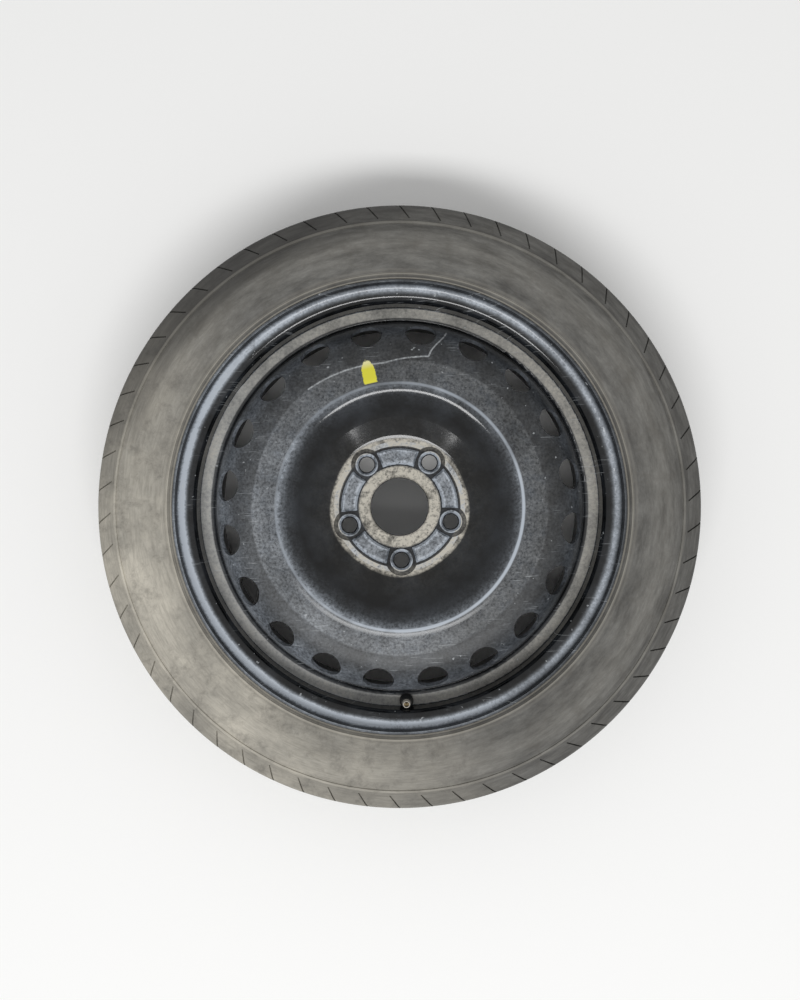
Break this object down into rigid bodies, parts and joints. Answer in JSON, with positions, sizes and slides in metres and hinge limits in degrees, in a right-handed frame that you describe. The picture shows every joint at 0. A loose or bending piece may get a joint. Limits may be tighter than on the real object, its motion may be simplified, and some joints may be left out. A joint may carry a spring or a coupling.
{
  "type": "spare wheel",
  "caption": "Narrow spare wheel: dished black steel disc with vents round its shoulder, welded in a rolled rim, with a mounted tyre and a snap-in air valve.",
  "frame": {"origin": "centre of the hub bore on the plane of the rear mounting face", "axes": "+Z along the axle towards the road side, so the wheel lies face up; -Y from the axle to the valve"},
  "size_m": [0.5954, 0.5954, 0.136],
  "materials": {
    "tyre_rubber": "dusty moulded rubber",
    "black_paint": "glossy black paint, dusty on the level faces",
    "painted_weld": "painted weld bead",
    "valve_rubber": "smooth black rubber",
    "valve_brass": "dull plated brass",
    "seal_plastic": "smooth plastic",
    "spring_steel": "drawn wire"
  },
  "bodies": {
    "wheel": {"tyre": "tyre_rubber", "rim": "black_paint", "disc": "black_paint", "disc_welds": "painted_weld", "valve_body": "valve_rubber", "valve_stem": "valve_brass", "core_housing": "valve_brass", "core_seal": "seal_plastic", "core_spring": "spring_steel"},
    "valve_pin": {"core_pin": "valve_brass", "core_cup": "valve_brass", "core_gasket": "valve_rubber"}
  },
  "joints": [
    {"name": "core_pin_press", "type": "slide", "parent": "wheel", "child": "valve_pin", "axis": [0, 0, -1], "range_m": [0, 0.0012], "stiffness_N_per_m": 300, "springref_m": -0.004, "deforming": ["core_spring"]}
  ]
}
